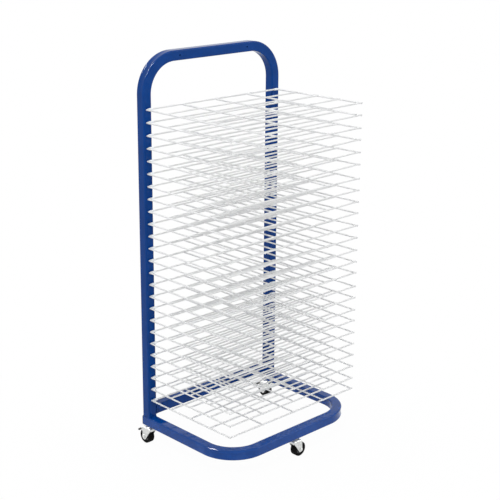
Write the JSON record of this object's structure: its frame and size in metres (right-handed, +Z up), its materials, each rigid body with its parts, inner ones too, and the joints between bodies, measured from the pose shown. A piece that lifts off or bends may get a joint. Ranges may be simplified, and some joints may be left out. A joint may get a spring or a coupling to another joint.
{
  "type": "art drying rack",
  "caption": "Mobile art drying rack: a bent square-tube frame on casters carries a tall stack of wire shelves that lift on rear pivots so wet sheets dry flat.",
  "frame": {"origin": "on the floor, under the middle of the rack's bounding box", "axes": "+Z up, -Y to the front where the shelves reach, +X to the right seen from the front"},
  "size_m": [0.4536, 0.3566, 1],
  "materials": {
    "blue_paint": "gloss powder coat",
    "white_wire": "white coated wire",
    "white_plastic": "moulded",
    "zinc": "bright zinc plate",
    "black_tyre": "moulded",
    "black_plastic": "moulded",
    "grey_plastic": "moulded"
  },
  "bodies": {
    "frame": {"back_frame": "blue_paint", "base_frame": "blue_paint", "rear_rail": "blue_paint", "leg_cap_left": "black_plastic", "leg_cap_right": "black_plastic", "pivot_strip_left": "white_plastic", "pivot_strip_right": "white_plastic", "caster_rear_left_stem": "zinc", "caster_rear_left_nut": "zinc", "caster_rear_right_stem": "zinc", "caster_rear_right_nut": "zinc", "caster_front_stem": "zinc", "caster_front_nut": "zinc"},
    "shelf_01_body": {"shelf_01": "white_wire"},
    "shelf_02_body": {"shelf_02": "white_wire"},
    "shelf_03_body": {"shelf_03": "white_wire"},
    "shelf_04_body": {"shelf_04": "white_wire"},
    "shelf_05_body": {"shelf_05": "white_wire"},
    "shelf_06_body": {"shelf_06": "white_wire"},
    "shelf_07_body": {"shelf_07": "white_wire"},
    "shelf_08_body": {"shelf_08": "white_wire"},
    "shelf_09_body": {"shelf_09": "white_wire"},
    "shelf_10_body": {"shelf_10": "white_wire"},
    "shelf_11_body": {"shelf_11": "white_wire"},
    "shelf_12_body": {"shelf_12": "white_wire"},
    "shelf_13_body": {"shelf_13": "white_wire"},
    "shelf_14_body": {"shelf_14": "white_wire"},
    "shelf_15_body": {"shelf_15": "white_wire"},
    "shelf_16_body": {"shelf_16": "white_wire"},
    "shelf_17_body": {"shelf_17": "white_wire"},
    "shelf_18_body": {"shelf_18": "white_wire"},
    "shelf_19_body": {"shelf_19": "white_wire"},
    "shelf_20_body": {"shelf_20": "white_wire"},
    "shelf_21_body": {"shelf_21": "white_wire"},
    "shelf_22_body": {"shelf_22": "white_wire"},
    "shelf_23_body": {"shelf_23": "white_wire"},
    "shelf_24_body": {"shelf_24": "white_wire"},
    "shelf_25_body": {"shelf_25": "white_wire"},
    "fork_rear_left": {"caster_rear_left_fork": "zinc", "caster_rear_left_axle": "zinc", "caster_rear_left_pedal_pin": "zinc"},
    "wheel_rear_left": {"caster_rear_left_hub": "grey_plastic", "caster_rear_left_tyre": "black_tyre"},
    "pedal_rear_left": {"caster_rear_left_pedal": "black_plastic"},
    "fork_rear_right": {"caster_rear_right_fork": "zinc", "caster_rear_right_axle": "zinc", "caster_rear_right_pedal_pin": "zinc"},
    "wheel_rear_right": {"caster_rear_right_hub": "grey_plastic", "caster_rear_right_tyre": "black_tyre"},
    "pedal_rear_right": {"caster_rear_right_pedal": "black_plastic"},
    "fork_front": {"caster_front_fork": "zinc", "caster_front_axle": "zinc"},
    "wheel_front": {"caster_front_hub": "grey_plastic", "caster_front_tyre": "black_tyre"}
  },
  "joints": [
    {"name": "shelf_01_lift", "type": "hinge", "parent": "frame", "child": "shelf_01_body", "pos_m": [0, 0.12028, 0.1266], "axis": [-1, 0, 0], "range_deg": [0, 75]},
    {"name": "shelf_02_lift", "type": "hinge", "parent": "frame", "child": "shelf_02_body", "pos_m": [0, 0.12028, 0.1576], "axis": [-1, 0, 0], "range_deg": [0, 75]},
    {"name": "shelf_03_lift", "type": "hinge", "parent": "frame", "child": "shelf_03_body", "pos_m": [0, 0.12028, 0.1886], "axis": [-1, 0, 0], "range_deg": [0, 75]},
    {"name": "shelf_04_lift", "type": "hinge", "parent": "frame", "child": "shelf_04_body", "pos_m": [0, 0.12028, 0.2196], "axis": [-1, 0, 0], "range_deg": [0, 75]},
    {"name": "shelf_05_lift", "type": "hinge", "parent": "frame", "child": "shelf_05_body", "pos_m": [0, 0.12028, 0.2506], "axis": [-1, 0, 0], "range_deg": [0, 75]},
    {"name": "shelf_06_lift", "type": "hinge", "parent": "frame", "child": "shelf_06_body", "pos_m": [0, 0.12028, 0.2816], "axis": [-1, 0, 0], "range_deg": [0, 75]},
    {"name": "shelf_07_lift", "type": "hinge", "parent": "frame", "child": "shelf_07_body", "pos_m": [0, 0.12028, 0.3126], "axis": [-1, 0, 0], "range_deg": [0, 75]},
    {"name": "shelf_08_lift", "type": "hinge", "parent": "frame", "child": "shelf_08_body", "pos_m": [0, 0.12028, 0.3436], "axis": [-1, 0, 0], "range_deg": [0, 75]},
    {"name": "shelf_09_lift", "type": "hinge", "parent": "frame", "child": "shelf_09_body", "pos_m": [0, 0.12028, 0.3746], "axis": [-1, 0, 0], "range_deg": [0, 75]},
    {"name": "shelf_10_lift", "type": "hinge", "parent": "frame", "child": "shelf_10_body", "pos_m": [0, 0.12028, 0.4056], "axis": [-1, 0, 0], "range_deg": [0, 75]},
    {"name": "shelf_11_lift", "type": "hinge", "parent": "frame", "child": "shelf_11_body", "pos_m": [0, 0.12028, 0.4366], "axis": [-1, 0, 0], "range_deg": [0, 75]},
    {"name": "shelf_12_lift", "type": "hinge", "parent": "frame", "child": "shelf_12_body", "pos_m": [0, 0.12028, 0.4676], "axis": [-1, 0, 0], "range_deg": [0, 75]},
    {"name": "shelf_13_lift", "type": "hinge", "parent": "frame", "child": "shelf_13_body", "pos_m": [0, 0.12028, 0.4986], "axis": [-1, 0, 0], "range_deg": [0, 75]},
    {"name": "shelf_14_lift", "type": "hinge", "parent": "frame", "child": "shelf_14_body", "pos_m": [0, 0.12028, 0.5296], "axis": [-1, 0, 0], "range_deg": [0, 75]},
    {"name": "shelf_15_lift", "type": "hinge", "parent": "frame", "child": "shelf_15_body", "pos_m": [0, 0.12028, 0.5606], "axis": [-1, 0, 0], "range_deg": [0, 75]},
    {"name": "shelf_16_lift", "type": "hinge", "parent": "frame", "child": "shelf_16_body", "pos_m": [0, 0.12028, 0.5916], "axis": [-1, 0, 0], "range_deg": [0, 75]},
    {"name": "shelf_17_lift", "type": "hinge", "parent": "frame", "child": "shelf_17_body", "pos_m": [0, 0.12028, 0.6226], "axis": [-1, 0, 0], "range_deg": [0, 75]},
    {"name": "shelf_18_lift", "type": "hinge", "parent": "frame", "child": "shelf_18_body", "pos_m": [0, 0.12028, 0.6536], "axis": [-1, 0, 0], "range_deg": [0, 75]},
    {"name": "shelf_19_lift", "type": "hinge", "parent": "frame", "child": "shelf_19_body", "pos_m": [0, 0.12028, 0.6846], "axis": [-1, 0, 0], "range_deg": [0, 75]},
    {"name": "shelf_20_lift", "type": "hinge", "parent": "frame", "child": "shelf_20_body", "pos_m": [0, 0.12028, 0.7156], "axis": [-1, 0, 0], "range_deg": [0, 75]},
    {"name": "shelf_21_lift", "type": "hinge", "parent": "frame", "child": "shelf_21_body", "pos_m": [0, 0.12028, 0.7466], "axis": [-1, 0, 0], "range_deg": [0, 75]},
    {"name": "shelf_22_lift", "type": "hinge", "parent": "frame", "child": "shelf_22_body", "pos_m": [0, 0.12028, 0.7776], "axis": [-1, 0, 0], "range_deg": [0, 75]},
    {"name": "shelf_23_lift", "type": "hinge", "parent": "frame", "child": "shelf_23_body", "pos_m": [0, 0.12028, 0.8086], "axis": [-1, 0, 0], "range_deg": [0, 75]},
    {"name": "shelf_24_lift", "type": "hinge", "parent": "frame", "child": "shelf_24_body", "pos_m": [0, 0.12028, 0.8396], "axis": [-1, 0, 0], "range_deg": [0, 75]},
    {"name": "shelf_25_lift", "type": "hinge", "parent": "frame", "child": "shelf_25_body", "pos_m": [0, 0.12028, 0.8706], "axis": [-1, 0, 0], "range_deg": [0, 75]},
    {"name": "swivel_rear_left", "type": "hinge", "parent": "frame", "child": "fork_rear_left", "pos_m": [-0.213, 0.13928, 0.052], "axis": [0, 0, 1], "continuous": true},
    {"name": "roll_rear_left", "type": "hinge", "parent": "fork_rear_left", "child": "wheel_rear_left", "pos_m": [-0.213, 0.15077, 0.019], "axis": [1, 0, 0], "continuous": true},
    {"name": "brake_rear_left", "type": "hinge", "parent": "fork_rear_left", "child": "pedal_rear_left", "pos_m": [-0.213, 0.15877, 0.0405], "axis": [-1, 0, 0], "range_deg": [0, 10]},
    {"name": "swivel_rear_right", "type": "hinge", "parent": "frame", "child": "fork_rear_right", "pos_m": [0.213, 0.13928, 0.052], "axis": [0, 0, 1], "continuous": true},
    {"name": "roll_rear_right", "type": "hinge", "parent": "fork_rear_right", "child": "wheel_rear_right", "pos_m": [0.213, 0.15077, 0.019], "axis": [1, 0, 0], "continuous": true},
    {"name": "brake_rear_right", "type": "hinge", "parent": "fork_rear_right", "child": "pedal_rear_right", "pos_m": [0.213, 0.15877, 0.0405], "axis": [-1, 0, 0], "range_deg": [0, 10]},
    {"name": "swivel_front", "type": "hinge", "parent": "frame", "child": "fork_front", "pos_m": [0.006, -0.16453, 0.052], "axis": [0, 0, 1], "continuous": true},
    {"name": "roll_front", "type": "hinge", "parent": "fork_front", "child": "wheel_front", "pos_m": [0.0175, -0.16453, 0.019], "axis": [0, 1, 0], "continuous": true}
  ],
  "couplings": [
    {"joint": "shelf_02_lift", "follows": "shelf_01_lift", "ratio": 1},
    {"joint": "shelf_03_lift", "follows": "shelf_01_lift", "ratio": 1},
    {"joint": "shelf_04_lift", "follows": "shelf_01_lift", "ratio": 1},
    {"joint": "shelf_05_lift", "follows": "shelf_01_lift", "ratio": 1},
    {"joint": "shelf_06_lift", "follows": "shelf_01_lift", "ratio": 1},
    {"joint": "shelf_07_lift", "follows": "shelf_01_lift", "ratio": 1},
    {"joint": "shelf_08_lift", "follows": "shelf_01_lift", "ratio": 1},
    {"joint": "shelf_09_lift", "follows": "shelf_01_lift", "ratio": 1},
    {"joint": "shelf_10_lift", "follows": "shelf_01_lift", "ratio": 1},
    {"joint": "shelf_11_lift", "follows": "shelf_01_lift", "ratio": 1},
    {"joint": "shelf_12_lift", "follows": "shelf_01_lift", "ratio": 1},
    {"joint": "shelf_13_lift", "follows": "shelf_01_lift", "ratio": 1},
    {"joint": "shelf_14_lift", "follows": "shelf_01_lift", "ratio": 1},
    {"joint": "shelf_15_lift", "follows": "shelf_01_lift", "ratio": 1},
    {"joint": "shelf_16_lift", "follows": "shelf_01_lift", "ratio": 1},
    {"joint": "shelf_17_lift", "follows": "shelf_01_lift", "ratio": 1},
    {"joint": "shelf_18_lift", "follows": "shelf_01_lift", "ratio": 1},
    {"joint": "shelf_19_lift", "follows": "shelf_01_lift", "ratio": 1},
    {"joint": "shelf_20_lift", "follows": "shelf_01_lift", "ratio": 1},
    {"joint": "shelf_21_lift", "follows": "shelf_01_lift", "ratio": 1},
    {"joint": "shelf_22_lift", "follows": "shelf_01_lift", "ratio": 1},
    {"joint": "shelf_23_lift", "follows": "shelf_01_lift", "ratio": 1},
    {"joint": "shelf_24_lift", "follows": "shelf_01_lift", "ratio": 1},
    {"joint": "shelf_25_lift", "follows": "shelf_01_lift", "ratio": 1}
  ]
}
